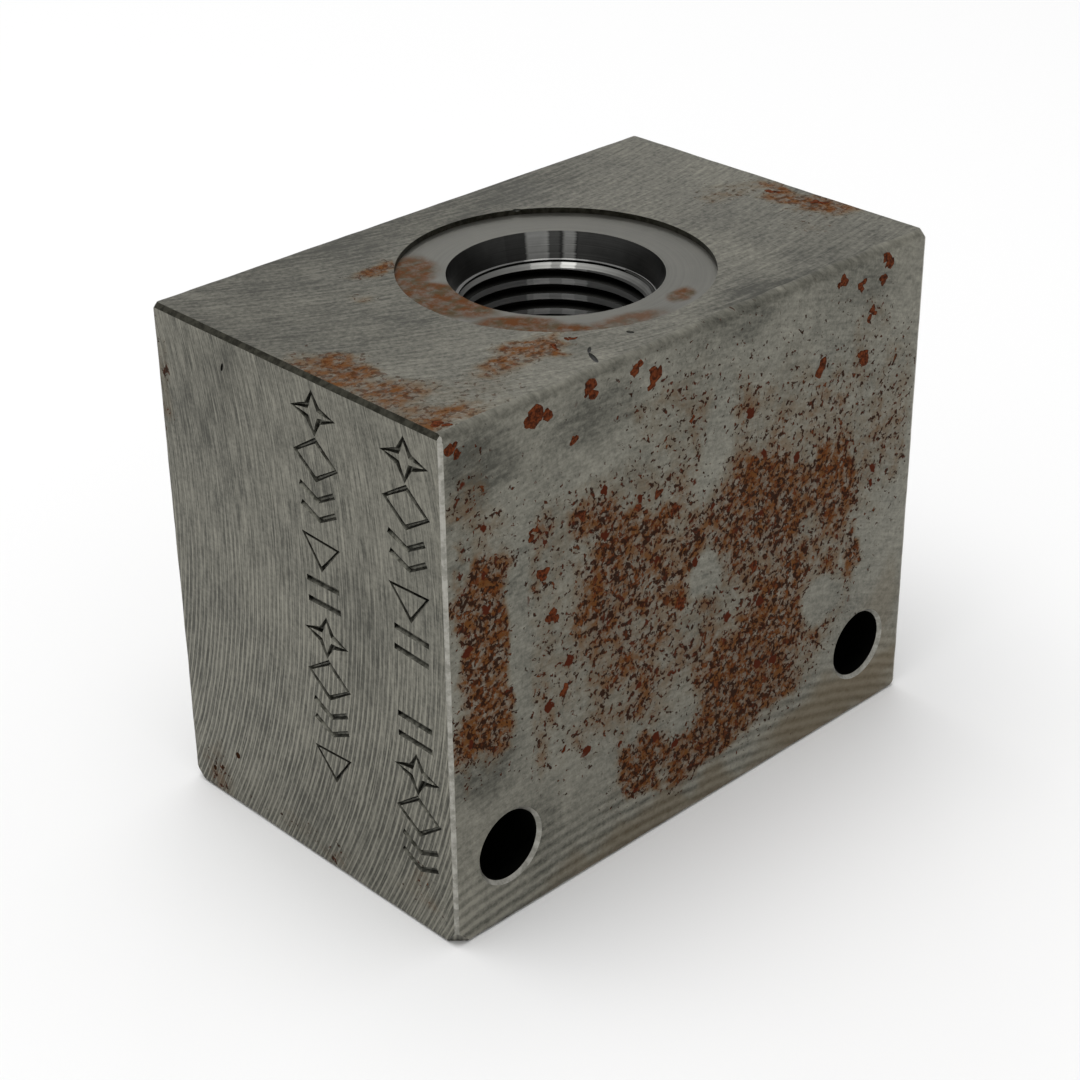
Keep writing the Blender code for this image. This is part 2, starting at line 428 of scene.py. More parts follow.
# a patch is: place along and across the face, half length, half width, turn in degrees, strength
faceLooks = {
    "left end": dict(
        baseLook, along=zAxis, arcRadius=68, arcCentre=33, fine=3.0, run=0.14, pitch=0.62, crisp=4.0,
        deepFrom=42, deepTo=14, ridgeLow=0.03, ridgeHigh=0.75, fineDepth=1.1, hairDepth=1.8,
        fleck=(1.6, 1.6), sparse=0.7, dense=0.55, film=0.5, seed=3.0,
        grime=[(48.8, 9, 3.5, 3, 0, 0.6), (28, -8, 12, 5, 0, 0.35), (47, 14, 8, 8, 0, 0.35),
               (9, -6, 9, 12, 0, 0.3)],
        patches=[(3, 16, 4, 4.5, 0, 0.55), (4, -15, 4, 5, 0, 0.5), (1.5, 2, 2.2, 12, 0, 0.4),
                 (45, 18.8, 8, 1.5, 0, 0.5)],
    ),
    "top": dict(
        baseLook, arcRadius=75, arcCentre=12, fine=2.0, run=0.2, pitch=0.9, deepAxis=xAxis,
        deepFrom=-10, deepTo=30, ridgeLow=0.05, ridgeHigh=0.12, fineDepth=0.9, hairDepth=0.9, mottle=1.7,
        fleck=(1.5, 1.8), sparse=0.66, dense=0.52, film=0.85, fleckStrength=0.6, relief=0.015, seed=11.0,
        grime=[(-11.5, -15, 6, 3, 20, 0.6), (9, -18.5, 9, 3, 0, 0.9), (-20, 8, 22, 20, 0, 0.5),
               (0, 18, 34, 8, 0, 0.8), (20, -16, 9, 5, 0, 0.4)],
        patches=[(-12.5, 10.4, 3.4, 2.8, 30, 0.85), (-16.5, 6.6, 2.2, 2, 0, 0.7), (-29.5, -4, 5, 7, 0, 0.8),
                 (-28.5, -11, 5.5, 6, 0, 0.75), (-29, -17.5, 6, 3.5, 0, 0.8), (-23, -15.5, 7, 4, 0, 0.45),
                 (-16.5, -13, 8.5, 2.6, 7, 0.95), (-8.8, -11.6, 3, 2, 0, 0.9), (3.7, -13, 2.2, 1.4, 0, 0.8),
                 (29.8, -5.5, 2.6, 9.5, 0, 1.0), (26, 1, 7, 3.5, 0, 0.45), (26, -10, 5, 6, 0, 0.3)],
    ),
    "front": dict(
        baseLook, across=zAxis, arcRadius=120, arcCentre=-15, bulge=-1, fine=1.6, run=0.3, pitch=1.25,
        crisp=1.0, deepFrom=12, deepTo=2, ridgeLow=0.02, ridgeHigh=0.6, fineDepth=0.7, hairDepth=0.4,
        mottle=1.3, fleck=(1.75, 1.6), sparse=0.65, dense=0.51, film=0.85, fleckStrength=0.96,
        relief=0.03, spots=1.0, seed=23.0,
        grime=[(-28, 47.5, 6, 4, 0, 0.8), (-13, 47.5, 7, 3.5, -10, 0.6), (4, 50.5, 9, 2.6, 0, 0.6),
               (-27, 17, 5.5, 3, 0, 0.8), (-24, 10, 7, 5, 0, 0.3), (24, 49, 8, 3, 0, 0.4)],
        tan=[(22, 2.5, 18, 5, 8, 1.0), (-4, 1, 22, 3, 0, 0.8), (29, 10, 4, 8, 0, 0.4)],
        patches=[
            (0, 29, 38, 28, 0, 0.48), (-1, 27, 26, 19, 10, 0.66), (-27, 30, 6, 18, 0, 0.7),
            (9, 18, 20, 18, 0, 0.68), (24, 33, 11, 16, 0, 0.5), (-26.8, 36.5, 4.4, 6, -20, 1.2),
            (-27.3, 30.5, 5, 7, 0, 1.2), (-27.3, 23, 5.2, 6, 0, 1.1), (-28, 45, 4, 6.5, 0, 0.5),
            (-20.5, 36, 2.8, 10, 0, 0.6), (-20.3, 20, 2.2, 10, 0, 0.55), (-9, 31, 12.5, 10.5, -15, 0.85),
            (-13.5, 37.5, 4.5, 4, 0, 0.72), (-9.5, 29, 5, 5, 0, 0.72), (-2.5, 31, 5, 3.5, 30, 0.78),
            (-5.5, 44, 6.5, 5.5, 0, 0.5), (7, 41.5, 6, 4.5, 15, 0.5), (9, 30, 10, 11, 0, 0.92),
            (17.5, 37.5, 5, 6, 0, 0.65), (18.8, 28.5, 4.6, 9, 12, 1.25), (22.3, 20.5, 2, 4.8, 5, 0.9),
            (28.5, 30, 4.5, 6.5, 0, 0.6), (8, 15, 14, 9, 25, 1.0), (11, 11, 9, 6.5, 30, 1.05),
            (2, 8, 10, 5.5, 15, 0.95), (-8.2, 8.6, 6.4, 4.8, 0, 1.05), (-10.5, 20, 10, 11, 0, 0.62),
            (18.3, 11.3, 2, 2.4, 0, 0.8), (24, 42, 6, 9, 0, 0.4), (-30.7, 27, 0.6, 27, 0, 0.6),
        ],
        clean=[(0.9, 26, 2.8, 3.4, 0, 0.9), (-23.2, 28, 1.4, 15, 0, 1.0), (18.6, 16.3, 3.8, 3.2, 0, 1.0),
               (-27, 10, 9, 8, 0, 1.0), (-14, 9, 5, 4, 0, 0.8), (2, 40, 2.5, 9, -10, 0.7),
               (-15, 45, 7, 3.5, -15, 0.9)],
    ),
    "right end": dict(
        baseLook, along=zAxis, arcRadius=80, arcCentre=20, bulge=-1, fine=2.2, run=0.12, pitch=1.1,
        crisp=2.5, deepFrom=20, deepTo=50, ridgeLow=0.1, ridgeHigh=0.4, fineDepth=1.5, hairDepth=1.8,
        mottle=1.0, dense=0.48, film=0.6, spots=0.6, seed=37.0,
        grime=[(10, -10, 8, 6, 0, 0.5)],
        patches=[(48, -14, 4, 6, 0, 0.8), (6, 12, 6, 7, 0, 0.6), (30, -18, 14, 3, 0, 0.7),
                 (12, -14, 7, 5, 0, 0.4)],
    ),
    "back": dict(
        baseLook, across=zAxis, arcRadius=120, arcCentre=10, fine=2.0, run=0.18, pitch=1.3,
        deepFrom=30, deepTo=50, ridgeLow=0.05, ridgeHigh=0.45, fineDepth=1.1, hairDepth=1.0,
        fleck=(2.2, 1.9), relief=0.025, spots=0.9, seed=51.0,
        grime=[(-24, 8, 8, 5, 0, 0.6)],
        patches=[(16, 20, 14, 10, 30, 0.7), (-20, 38, 9, 7, 0, 0.65), (-8, 12, 12, 6, 20, 0.5),
                 (27, 46, 6, 6, 0, 0.8)],
    ),
    "bottom": dict(
        baseLook, arcRadius=75, arcCentre=-10, fine=2.2, run=0.16, pitch=1.1, deepAxis=xAxis,
        deepFrom=0, deepTo=30, ridgeLow=0.1, ridgeHigh=0.3, fineDepth=1.4, hairDepth=1.2, spots=0.5,
        seed=67.0,
        patches=[(24, 8, 9, 10, 0, 0.8), (-24, -12, 9, 7, 0, 0.7), (0, 17, 18, 3, 0, 0.6)],
    ),
}


def turnedFinish(name, axis, direction, look):
    material, tree, shader, place = startFinish(name)
    offset = vec(tree, "SUBTRACT", place, tuple(axis / mm))
    parts = put(tree, "ShaderNodeSeparateXYZ", {0: offset}).outputs
    sides = [parts[index] for index in range(3) if index != direction]
    radius = vec(tree, "LENGTH", joinXYZ(tree, sides[0], sides[1], 0.0))
    ring = calc(tree, "ADD", radius, parts[direction])
    angle = calc(tree, "ARCTAN2", sides[1], sides[0])
    lines = grain(tree, joinXYZ(tree, times(tree, ring, look["lines"]),
                                times(tree, angle, 0.6), 0.0), 1.0, 3.0, 0.6)
    cloud = grain(tree, place, 0.35, 4.0, 0.6)
    tone = timesPlus(tree, minus(tree, lines, 0.5), look["contrast"], 0.5)
    tone = timesPlus(tree, minus(tree, cloud, 0.5), look["cloud"], tone)
    steel = blend(tree, clamped(tree, tone), look["dark"], look["light"])
    # painted highlight and painted shade: the steel colour is dimmed all round the axis, save for bands at
    # set angles that are brightened as painted reflections of the lamps
    if look.get("paintedGleams"):
        wander = timesPlus(tree, minus(tree, lines, 0.5), 0.05, angle)
        paintedLightLevel = look["paintedShadeLevel"]
        for centre, half, strength in look["paintedGleams"]:
            away = calc(tree, "ABSOLUTE", minus(tree, wander, math.radians(centre)))
            lit = ease(tree, away, math.radians(half + 1.5), math.radians(half - 1.5), 0.0, strength)
            paintedLightLevel = calc(tree, "MAXIMUM", paintedLightLevel, lit)
        steel = vec(tree, "MULTIPLY", steel, paintedLightLevel)
    cover = ringCoverage(tree, vec(tree, "ADD", offset, (0, 0, 5)), look.get("patches", []))
    speck = grain(tree, place, 0.9, 4.0, 0.65)
    stain = times(tree, ease(tree, cover, 0.0, 1.0), ease(tree, speck, 0.3, 0.6, 0.5, 1.0))
    stainTone = blend(tree, ease(tree, grain(tree, place, 0.7, 3.0, 0.6), 0.35, 0.6), steelTones["tan"],
                      steelTones["stain"])
    colour = blend(tree, stain, steel, stainTone)
    metallic = timesPlus(tree, stain, -0.8, 1.0)
    rough = timesPlus(tree, cloud, 0.1, look["roughness"] - 0.05)
    rough = timesPlus(tree, stain, 0.4, rough)
    dress(tree, shader, colour, metallic, rough, lines, look["relief"])
    return material


# bare turned steel for the bores and crests; its light tone is pushed near white as painted highlight, and it
# carries bands of painted highlight with painted shade between them
freshCutWithPaintedLight = dict(
    roughness=0.62, lines=4.0, contrast=1.0, cloud=0.3, relief=0.003,
    dark=(0.5, 0.5, 0.49), light=(0.95, 0.95, 0.93), paintedShadeLevel=0.42,
    paintedGleams=[(55, 6, 1.0), (38, 5, 1.0), (45, 20, 0.8)],
)
# the lead-in below the seat, also with bands of painted highlight and painted shade between them
leadIn = dict(
    freshCutWithPaintedLight, roughness=0.45, cloud=0.6,
    dark=(0.16, 0.16, 0.152), light=(0.42, 0.42, 0.40), paintedShadeLevel=0.55, paintedGleams=[(55, 7, 1.0), (38, 5, 1.3)],
)
# the cone seat: bands of painted highlight at set angles, with heavy painted shade between them, stand in for
# reflections of the lamps in the seat
seatPaintedReflections = dict(
    roughness=0.3, lines=6.0, contrast=1.0, cloud=0.9, relief=0.004,
    dark=(0.20, 0.20, 0.19), light=(0.5, 0.5, 0.48), paintedShadeLevel=0.13,
    paintedGleams=[(56, 6.5, 0.9), (38, 3.5, 0.85), (47, 4, 0.25), (0, 34, 0.2), (100, 26, 0.16)],
)
bareRing = dict(
    roughness=0.42, lines=5.0, contrast=0.7, cloud=0.6, relief=0.006,
    dark=(0.11, 0.11, 0.097), light=(0.225, 0.22, 0.195),
)
stainedRing = dict(bareRing, patches=[
    (-12.0, 3.5, 4.4, 9, 12, 1.3), (-9.5, 9.8, 4.6, 3.4, 45, 0.9), (-11, -7.0, 3.2, 6.5, 35, 1.1),
    (-4, -12.6, 7, 2.2, -8, 0.7), (4.2, -11.8, 2.4, 1.3, 20, 0.9), (-8.5, -11.2, 3, 2.2, 0, 1.0),
])
# thread grooves and the fine step below the seat, painted near black as shade deep in the bore
paintedDarkThread = dict(
    roughness=0.35, lines=3.0, contrast=0.6, cloud=0.4, relief=0.004,
    dark=(0.012, 0.012, 0.011), light=(0.04, 0.04, 0.037),
)
# bolt hole walls and small dents, painted near black as shade inside the hollows
paintedDarkHollow = dict(
    roughness=0.4, lines=2.0, contrast=0.8, cloud=0.5, relief=0.01,
    dark=(0.012, 0.012, 0.010), light=(0.035, 0.035, 0.031),
)
turnedLooks = {
    "turned bore": (cavityAxis, zAxis, freshCutWithPaintedLight), "side bore": (portTwoAxis, xAxis, freshCutWithPaintedLight),
    "lead-in": (cavityAxis, zAxis, leadIn), "seat with painted reflections": (cavityAxis, zAxis, seatPaintedReflections),
    "faced ring": (cavityAxis, zAxis, stainedRing), "lower ring": (cavityAxis, zAxis, bareRing),
    "side ring": (portTwoAxis, xAxis, bareRing), "thread": (cavityAxis, zAxis, paintedDarkThread),
    "hollow in painted shade": (boltAxes[0], yAxis, paintedDarkHollow),
}
# dark tone, light tone, roughness, and for rust how metallic, how fine and how deep it is
wornAndShadowLooks = {
    # the shadow edge is painted shade: on the top edge of the left end and on the spotface wall round the
    # cavity
    "shadow edge": ((0.025, 0.024, 0.018), (0.06, 0.058, 0.045), 0.5),
    "bright edge": ((0.24, 0.235, 0.205), (0.40, 0.39, 0.35), 0.4),
    "stamped mark": ((0.03, 0.03, 0.024), (0.12, 0.118, 0.098), 0.45),
    "rusty pit": ((0.03, 0.012, 0.006), (0.07, 0.03, 0.014), 0.8),
    "rust scab": ((0.030, 0.008, 0.003), (0.130, 0.032, 0.010), 0.82, 0.0, 2.5, 0.65, 0.04),
}


def wornAndShadowFinish(name, dark, light, roughness, metallic=1.0, pace=1.3, coarse=0.6, relief=0.01):
    material, tree, shader, place = startFinish(name)
    streak = grain(tree, place, pace, 4.0, coarse)
    colour = blend(tree, ease(tree, streak, 0.35, 0.65), dark, light)
    rough = timesPlus(tree, streak, 0.2, roughness - 0.1)
    dress(tree, shader, colour, metallic, rough, streak, relief)
    return material


# the body

block = dict(rustRoom=0.05 * mm, edgeSteps=60)   # the steel stands this far inside the rusty skin


def blankBlock(material):
    low = blockLow + Vector((1, 1, 0)) * block["rustRoom"]
    high = blockHigh - Vector((1, 1, 1)) * block["rustRoom"]
    bm = bmesh.new()
    bmesh.ops.create_cube(bm, size=1)
    bmesh.ops.scale(bm, vec=high - low, verts=bm.verts)
    bmesh.ops.translate(bm, vec=(low + high) / 2, verts=bm.verts)
    return objectFrom("valve_body_steel", bm, [material]), low, high


# the axis each edge runs along, the sides it joins, radius in mm, finish, facets, unevenness
edgeList = [
    (yAxis, (-1, 0, 1), 0.42, "shadow edge", 1, 0.06),
    (xAxis, (0, -1, 1), 0.9, "front", 4, 0.35),
    (zAxis, (-1, -1, 0), 0.32, "bright edge", 2, 0.12),
    (xAxis, (0, 1, 1), 0.5, "top", 3, 0.2),
    (yAxis, (1, 0, 1), 0.5, "top", 3, 0.25),
    (zAxis, (1, -1, 0), 0.4, "bright edge", 3, 0.2),
    (zAxis, (-1, 1, 0), 0.6, "left end", 3, 0.2),
    (zAxis, (1, 1, 0), 0.5, "back", 3, 0.2),
    (yAxis, (-1, 0, -1), 0.45, "left end", 3, 0.2),
    (xAxis, (0, -1, -1), 0.45, "front", 3, 0.2),
    (yAxis, (1, 0, -1), 0.45, "right end", 3, 0.2),
    (xAxis, (0, 1, -1), 0.45, "back", 3, 0.2),
]


def cornerAt(low, high, outward):
    return Vector([high[i] if outward[i] > 0 else low[i] for i in range(3)])


def edgeCutter(low, high, axis, outward, radius, material, facets, wear, seed):
    steps = block["edgeSteps"]
    outside = 1.5 * radius
    sides = [index for index in range(3) if index != axis]
    corner = cornerAt(low, high, outward)
    bm = bmesh.new()
    rows = []
    for step in range(steps + 1):
        run = low[axis] - mm + (high[axis] - low[axis] + 2 * mm) * step / steps
        shade = noise.fractal(Vector((run / mm * 0.25, seed * 7.3, 0)), 1.0, 2.0, 3)
        r = radius * (1 + wear * shade)
        outline = [(-r, outside), (outside, outside), (outside, -r)]
        for facet in range(facets + 1):
            turn = math.pi / 2 * facet / facets
            outline.append((r * (math.cos(turn) - 1), r * (math.sin(turn) - 1)))
        row = []
        for first, second in outline:
            point = Vector((0, 0, 0))
            point[axis] = run
            point[sides[0]] = corner[sides[0]] + outward[sides[0]] * first
            point[sides[1]] = corner[sides[1]] + outward[sides[1]] * second
            row.append(bm.verts.new(point))
        rows.append(row)
    for row, nextRow in zip(rows, rows[1:]):
        for index in range(len(row)):
            after = (index + 1) % len(row)
            bm.faces.new((row[index], row[after], nextRow[after], nextRow[index]))
    bm.faces.new(rows[0])
    bm.faces.new(rows[-1])
    bmesh.ops.recalc_face_normals(bm, faces=bm.faces)
    return objectFrom("edge waste", bm, [material])


cavity = dict(
    spotRadius=0.595 * inch, spotDepth=0.6 * mm,
    mouthRadius=10.33 * mm, seatFoot=9.63 * mm, seatDepth=3.2 * mm,
    relief=9.3 * mm, step=0.25 * mm,     # a fine step below the seat
    minor=8.85 * mm, major=0.375 * inch, pitch=inch / 16, turns=9.0,
    bandRadius=7.95 * mm, bandDepth=20.0 * mm, noseRadius=0.25 * inch, noseDepth=28.6 * mm,
)
port = dict(
    spotRadius=12.3 * mm, spotDepth=0.5 * mm, seatRadius=7.85 * mm, seatDepth=2.5 * mm,
    minor=6.4 * mm, major=9 / 32 * inch, pitch=inch / 18, turns=9.0, runIn=0.8, tapDepth=15.6 * mm,
    neckOne=4.95 * mm, neckTwo=4.0 * mm,
)
bolt = dict(radius=9 / 64 * inch, edge=0.25 * mm, lip=0.15 * mm, sides=64)
overrun = 1 * mm
drillPoint = math.radians(59)
roundSides = 96


def cutCavity(body, thread, finishes):
    c = cavity
    place = Matrix.Translation((cavityAxis.x, cavityAxis.y, blockHigh.z))
    threadTop = c["seatDepth"] + c["step"] + c["relief"] - c["minor"]
    threadFoot = threadTop + (c["turns"] - 1) * c["pitch"]
    # radius, depth and the finish of the run that starts there
    steps = [
        (0, -overrun, "shadow edge"), (c["spotRadius"], -overrun, "shadow edge"),
        (c["spotRadius"], c["spotDepth"], "faced ring"), (c["mouthRadius"], c["spotDepth"], "seat with painted reflections"),
        # the fine step below the seat takes the thread finish, painted near black as shade
        (c["seatFoot"], c["seatDepth"], "turned bore"), (c["relief"], c["seatDepth"], "thread"),
        (c["relief"], c["seatDepth"] + c["step"], "lead-in"), (c["minor"], threadTop, "turned bore"),
        (c["minor"], threadFoot, "turned bore"),
        (c["bandRadius"], threadFoot + c["minor"] - c["bandRadius"], "turned bore"),
        (c["bandRadius"], c["bandDepth"], "turned bore"),
        (c["noseRadius"], c["bandDepth"] + c["bandRadius"] - c["noseRadius"], "turned bore"),
        (c["noseRadius"], c["noseDepth"], "turned bore"),
    ]
    profile = [(radius, depth) for radius, depth, finish in steps]
    profile.append((0, c["noseDepth"] + c["noseRadius"] / math.tan(drillPoint)))
    cuts = [finishes[finish] for radius, depth, finish in steps]
    cutAway(body, turnedCutter("cavity", profile, roundSides, place, cuts))
    cutThread(body, thread, c, place @ Matrix.Translation((0, 0, -threadFoot - c["pitch"] / 2)))


def cutPort(body, name, neckRadius, neckDepth, place, thread, faced, bored):
    p = port
    threadTop = p["seatDepth"] + p["major"] - p["minor"]
    step = (p["minor"] - neckRadius) / math.tan(drillPoint)
    profile = [
        (0, -overrun), (p["spotRadius"], -overrun), (p["spotRadius"], p["spotDepth"]),
        (p["seatRadius"], p["spotDepth"]), (p["major"], p["seatDepth"]), (p["minor"], threadTop),
        (p["minor"], p["tapDepth"]), (neckRadius, p["tapDepth"] + step), (neckRadius, neckDepth),
        (0, neckDepth + neckRadius / math.tan(drillPoint)),
    ]
    cutAway(body, turnedCutter(name, profile, roundSides, place, [faced] * 3 + [bored] * 6))
    foot = threadTop + p["pitch"] * (p["turns"] - p["runIn"])
    cutThread(body, thread, p, place @ Matrix.Translation((0, 0, -foot)))


def cutPorts(body, thread, finishes):
    noseFloor = blockHigh.z - cavity["noseDepth"]
    below = Matrix.Translation((cavityAxis.x, cavityAxis.y, 0)) @ Matrix.Rotation(math.pi, 4, "X")
    cutPort(body, "port one", port["neckOne"], noseFloor + overrun, below, thread,
            finishes["lower ring"], finishes["turned bore"])
    beside = Matrix.Translation((blockHigh.x, portTwoAxis.y, portTwoAxis.z))
    beside = beside @ Matrix.Rotation(math.pi / 2, 4, "Y")
    deep = blockHigh.x - cavity["bandRadius"] / 2
    cutPort(body, "port two", port["neckTwo"], deep, beside, thread,
            finishes["side ring"], finishes["side bore"])


def cutBoltHoles(body, finishes):
    width = blockHigh.y - blockLow.y
    flare = bolt["radius"] + bolt["edge"] + overrun
    lipDepth = bolt["edge"] + bolt["lip"]
    profile = [
        (0, -overrun), (flare + bolt["lip"], -overrun), (bolt["radius"], lipDepth),
        (bolt["radius"], width - bolt["edge"]), (flare, width + overrun), (0, width + overrun),
    ]
    # the bolt hole walls are painted near black as shade
    cuts = [finishes["bright edge"]] * 2 + [finishes["hollow in painted shade"]] * 3
    for axis in boltAxes:
        place = Matrix.Translation((axis.x, blockLow.y, axis.z)) @ Matrix.Rotation(math.pi / 2, 4, "X")
        cutAway(body, turnedCutter("bolt hole", profile, bolt["sides"], place, cuts))


# stamped marks: plain shapes, struck one by one and never quite straight

stamps = dict(
    height=5.0, width=3.5, stroke=0.75, depth=0.3, lift=0.1, tilt=4.0,   # mm, and degrees
    # count, distance behind the front face, height of the first mark, seed
    rows=[(9, 16.4, 48.6, 4), (5, 4.6, 48.4, 9), (4, 4.6, 21.5, 17)],
)


def markTree(material):
    tree, given = geometryTree("stamped marks", {
        "Count": 5, "Pitch": 4.5 * mm, "Height": 4.4 * mm, "Width": 3.2 * mm, "Stroke": 0.6 * mm,
        "Depth": 0.3 * mm, "Lift": 0.1 * mm, "Tilt": 0.05, "Seed": 0,
    })
    circle = "GeometryNodeCurvePrimitiveCircle"
    triangle = put(tree, circle, {"Resolution": 3, "Radius": 0.55})
    diamond = put(tree, circle, {"Resolution": 4, "Radius": 0.55})
    star = put(tree, "GeometryNodeCurveStar", {"Points": 4, "Inner Radius": 0.22, "Outer Radius": 0.55})
    bars = []
    for side in (-0.3, 0.3):
        bar = {"Start": (side, -0.45, 0), "End": (side, 0.45, 0)}
        bars.append(put(tree, "GeometryNodeCurvePrimitiveLine", bar))
    peaks = []
    for side in (-0.35, 0.2):
        arc = put(tree, "GeometryNodeCurveArc", {
            "Resolution": 3, "Radius": 0.5, "Start Angle": math.radians(-70),
            "Sweep Angle": math.radians(140),
        })
        shift = (side - 0.3, 0, 0)
        peaks.append(put(tree, "GeometryNodeTransform", {"Geometry": arc.outputs[0], "Translation": shift}))
    kinds = put(tree, "GeometryNodeGeometryToInstance")
    for shape in ([star], peaks, bars, [diamond], [triangle]):
        if len(shape) > 1:
            joined = put(tree, "GeometryNodeJoinGeometry")
            for piece in shape:
                tree.links.new(piece.outputs[0], joined.inputs[0])
            shape = [joined]
        tree.links.new(shape[0].outputs[0], kinds.inputs[0])
    row = put(tree, "GeometryNodeMeshLine", {
        "Count": given["Count"], "Offset": joinXYZ(tree, given["Pitch"], 0.0, 0.0),
    }, mode="OFFSET")
    swing = chance(tree, times(tree, given["Tilt"], -1.0), given["Tilt"], given["Seed"])
    number = put(tree, "GeometryNodeInputIndex").outputs[0]
    kind = calc(tree, "MODULO", timesPlus(tree, number, 2.0, given["Seed"]), 5.0)
    placed = put(tree, "GeometryNodeInstanceOnPoints", {
        "Points": row.outputs[0], "Instance": kinds.outputs[0], "Pick Instance": True,
        "Instance Index": kind, "Rotation": joinXYZ(tree, 0.0, 0.0, swing),
        "Scale": joinXYZ(tree, given["Width"], given["Height"], 1.0),
    })
    real = put(tree, "GeometryNodeRealizeInstances", {"Geometry": placed.outputs[0]})
    reach = calc(tree, "ADD", given["Depth"], given["Lift"])
    root = times(tree, given["Stroke"], 0.25)
    swept = sweptGroove(tree, real.outputs[0], given["Stroke"], root, reach, 0)
    drop = times(tree, minus(tree, given["Lift"], given["Depth"]), 0.5)
    sunk = put(tree, "GeometryNodeTransform", {
        "Geometry": swept, "Translation": joinXYZ(tree, 0.0, 0.0, drop),
    })
    return finishTree(tree, sunk.outputs[0], material)


def cutStamps(body, tree, low):
    # the rows run down the left end, and the tops of the marks point to the front
    turn = Matrix(((0, 0, -1), (0, -1, 0), (-1, 0, 0))).to_4x4()
    values = {label: stamps[label.lower()] * mm for label in ("Height", "Width", "Stroke", "Depth", "Lift")}
    values["Tilt"] = math.radians(stamps["tilt"])
    for count, inset, top, seed in stamps["rows"]:
        marks = grow("marks", tree, dict(values, Count=count, Seed=seed))
        marks.data.transform(Matrix.Translation((low.x, low.y + inset * mm, top * mm)) @ turn)
        cutAway(body, marks)


def makeBody():
    finishes = {name: milledFinish(name, look) for name, look in faceLooks.items()}
    finishes.update({name: wornAndShadowFinish(name, *look) for name, look in wornAndShadowLooks.items()})
    finishes.update({name: turnedFinish(name, *look) for name, look in turnedLooks.items()})
    print("finishes mixed", len(finishes))
    body, low, high = blankBlock(finishes["front"])
    for seed, (axis, outward, radius, finish, facets, wear) in enumerate(edgeList):
        cutAway(body, edgeCutter(low, high, axis, outward, radius * mm, finishes[finish], facets, wear, seed))
    knockCorners(body, low, high, finishes)
    cutDents(body, finishes)
    print("edges worn")
    # the thread grooves take the thread finish, painted near black as shade
    thread = threadTree(finishes["thread"])
    cutCavity(body, thread, finishes)
    cutPorts(body, thread, finishes)
    cutBoltHoles(body, finishes)
    print("bores cut")
    cutStamps(body, markTree(finishes["stamped mark"]), low)
    print("marks stamped")
    finishFaces(body, finishes)
    paintStains(body)
    body.data.shade_smooth()
    flats = {body.data.materials.find(name) for name in faceLooks}
    for face in body.data.polygons:
        if face.material_index in flats and max(abs(part) for part in face.normal) > 0.99999:
            face.use_smooth = False
    print("stains painted", len(body.data.polygons))
    body.data.set_sharp_from_angle(angle=math.radians(28))
    weighted = body.modifiers.new("weighted", "WEIGHTED_NORMAL")
    weighted.keep_sharp = True
    settleModifiers(body)
    body.data.name = "valve_body_steel"
    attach(body, "root")
    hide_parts("valve_body")
    makeScabs(low, high, finishes["rust scab"])
    return body


# dents with the hollow finish are painted near black as shade in the hollow
dents = [   # place in mm, size in mm, turn in radians and its axis, finish
    ((-31.7, 9.4, 48.8), (0.5, 0.35, 0.95), (math.radians(20), "X"), "hollow in painted shade"),
    ((-31.7, 16.2, 2.6), (0.3, 0.5, 0.7), (0.3, "X"), "rusty pit"),
    ((-31.7, 14.9, 3.2), (0.3, 0.35, 0.8), (0.2, "X"), "rusty pit"),
    ((-31.7, 12.1, 6.0), (0.3, 0.7, 0.8), (0.5, "X"), "rusty pit"),
    ((-12.1, -17.6, 52.02), (0.5, 2.2, 0.25), (math.radians(-25), "Z"), "hollow in painted shade"),
    ((-11.2, -16.2, 52.02), (0.35, 1.3, 0.2), (math.radians(-50), "Z"), "hollow in painted shade"),
    ((-6.0, -16.1, 52.02), (0.5, 0.8, 0.2), (0.3, "Z"), "hollow in painted shade"),
    ((7.4, 12.3, 52.0), (0.8, 1.1, 0.5), (0.5, "Z"), "hollow in painted shade"),
    ((-29.0, -19.69, 51.9), (1.6, 0.5, 0.5), (0.1, "Y"), "front"),
    ((15.5, -19.69, 51.9), (2.4, 0.7, 0.5), (0.0, "Y"), "front"),
]


def cutDents(body, finishes):
    for place, size, turn, finish in dents:
        cutAway(body, dentCutter(Vector(place) * mm, Vector(size) * mm, turn, finishes[finish]))


corners = [   # which corner, how much is knocked off it in mm, finish
    ((-1, -1, 1), 0.8, "bright edge"), ((1, -1, 1), 1.1, "top"), ((1, 1, 1), 0.8, "top"),
    ((-1, 1, 1), 0.9, "top"), ((-1, -1, -1), 1.8, "left end"), ((1, -1, -1), 1.0, "front"),
    ((-1, 1, -1), 1.7, "left end"), ((1, 1, -1), 0.8, "back"),
]


def knockCorners(body, low, high, finishes):
    for outward, size, finish in corners:
        corner = cornerAt(low, high, outward)
        away = Vector(outward).normalized()
        half = 2 * mm
        centre = corner + away * (half - size * mm / math.sqrt(3))
        turn = away.to_track_quat("Z", "Y").to_matrix().to_4x4()
        bm = bmesh.new()
        bmesh.ops.create_cube(bm, size=2 * half)
        bmesh.ops.transform(bm, matrix=Matrix.Translation(centre) @ turn, verts=bm.verts)
        cutAway(body, objectFrom("corner waste", bm, [finishes[finish]]))


# rust scabs: low lumps in small clusters, grown on the skin

